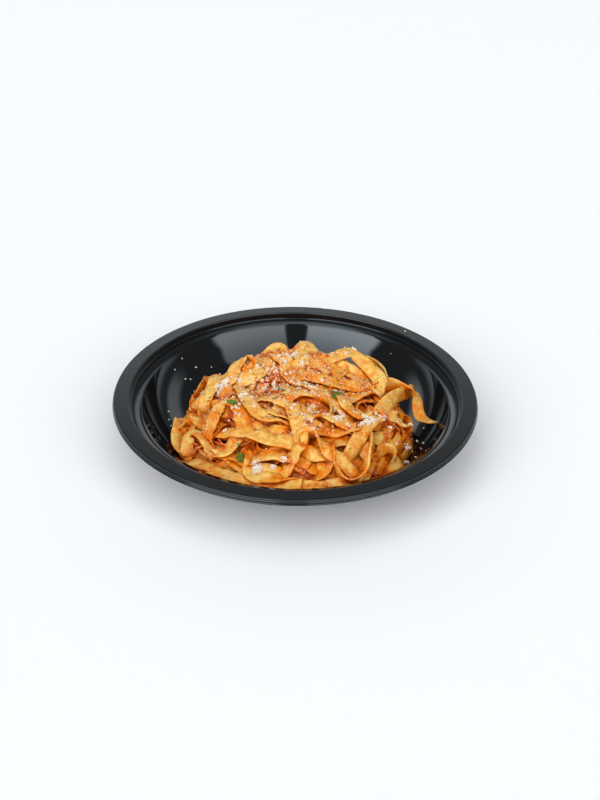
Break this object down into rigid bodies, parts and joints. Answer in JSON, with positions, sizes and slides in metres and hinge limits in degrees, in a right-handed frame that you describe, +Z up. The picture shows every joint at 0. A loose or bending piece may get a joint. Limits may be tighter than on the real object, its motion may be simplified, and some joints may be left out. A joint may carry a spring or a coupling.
{
  "type": "bowl of tagliatelle in tomato sauce",
  "caption": "Round black plastic takeaway bowl with a wide flange, filled with a heap of flat ribbon pasta in tomato sauce under grated cheese and herbs.",
  "frame": {"origin": "centre of the circle that the bowl stands on, on the table plane", "axes": "+Z up along the bowl's axis; -Y towards the viewer, where the heap comes closest to the rim; +X to the viewer's right"},
  "size_m": [0.2286, 0.2286, 0.0523],
  "materials": {
    "bowl_plastic": "glossy thermoformed black plastic",
    "pasta": "moist cooked egg pasta coated with thin tomato sauce",
    "cheese": "crumbly grated white cheese",
    "herb": "chopped green herb",
    "tomato": "moist cooked tomato pieces"
  },
  "bodies": {
    "root": {"bowl": "bowl_plastic", "pasta_heap": "pasta"}
  },
  "joints": []
}
